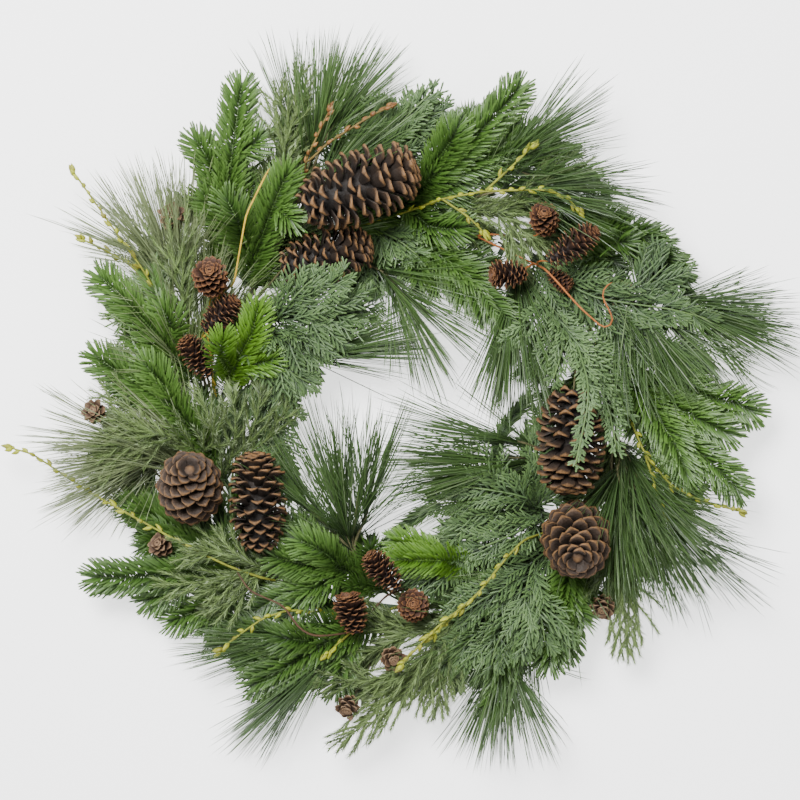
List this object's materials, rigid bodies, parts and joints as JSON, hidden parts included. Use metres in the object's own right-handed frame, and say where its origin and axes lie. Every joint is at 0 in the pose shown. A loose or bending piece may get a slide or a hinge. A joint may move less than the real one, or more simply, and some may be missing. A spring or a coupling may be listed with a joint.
{
  "type": "evergreen wreath",
  "caption": "Mixed evergreen wreath on a clamp ring of wire, with open pine cones, small brown cones, budded twigs and sprays of fir, pine, cedar and juniper.",
  "frame": {"origin": "the middle of the wreath's width and height, on the surface that it lies on", "axes": "+Z out of the wreath's face, +Y towards its top as it hangs, +X towards its right side"},
  "size_m": [0.7958, 0.7354, 0.1246],
  "materials": {
    "green_wire": "dark green enamel",
    "open_cone_scales": "dry woody scales with paler edges",
    "brown_cone_scales": "matt reddish brown",
    "pale_cone_scales": "matt pale brown",
    "yellow_buds": "matt yellow-green buds",
    "rust_brown_buds": "matt orange-brown buds",
    "fir_green": "waxy dark green needles",
    "bright_fir_green": "waxy bright green needles",
    "pine_green": "glossy dark green needles",
    "pale_pine_green": "satin pale green needles",
    "cedar_green": "matt scaly green",
    "soft_grey_green": "matt grey-green"
  },
  "bodies": {
    "root": {"wire_frame": "green_wire", "cone_top_upper": "open_cone_scales", "cone_top_lower": "open_cone_scales", "cone_left_open": "open_cone_scales", "cone_left_side": "open_cone_scales", "cone_right_upper": "open_cone_scales", "cone_right_lower": "open_cone_scales", "cone_pick_left": "brown_cone_scales", "cone_pick_top": "brown_cone_scales", "cone_pick_bottom": "brown_cone_scales", "cones_tiny_left": "pale_cone_scales", "cone_tiny_upper": "pale_cone_scales", "cones_tiny_lower": "pale_cone_scales", "cone_tiny_right": "pale_cone_scales", "twig_left_upper": "yellow_buds", "twig_left_lower": "yellow_buds", "twig_top_right": "yellow_buds", "twig_right": "yellow_buds", "twig_bottom": "yellow_buds", "twig_bottom_left": "yellow_buds", "twig_brown": "rust_brown_buds", "fir_upper_left": "fir_green", "fir_inner_left": "fir_green", "fir_left_upper": "fir_green", "fir_left": "fir_green", "fir_bright_left": "bright_fir_green", "fir_lower_left": "fir_green", "fir_lower_inner": "fir_green", "fir_bottom_left": "fir_green", "fir_bright_bottom": "bright_fir_green", "fir_bottom": "fir_green", "fir_right": "fir_green", "fir_top": "fir_green", "fir_top_right": "fir_green", "cedar_inner_top": "cedar_green", "cedar_top": "cedar_green", "cedar_right_top": "cedar_green", "cedar_over_cone": "cedar_green", "cedar_inner_right": "cedar_green", "cedar_bottom": "cedar_green", "soft_left_upper": "soft_grey_green", "soft_left": "soft_grey_green", "soft_lower_left": "soft_grey_green", "soft_top_left": "soft_grey_green", "soft_right": "soft_grey_green", "soft_bottom": "soft_grey_green", "soft_top_right": "soft_grey_green", "pine_upper_left": "pine_green", "pine_top_right": "pine_green", "pine_right_upper": "pine_green", "pine_right_lower": "pine_green", "pine_bottom": "pine_green", "pine_bottom_left": "pine_green", "pine_left_pale": "pale_pine_green", "pine_upper_pale": "pale_pine_green", "pine_hole_top": "pine_green", "pine_hole_bottom": "pine_green", "pine_hole_right": "pine_green", "pine_hole_down": "pine_green", "pine_hole_left": "pine_green"}
  },
  "joints": []
}
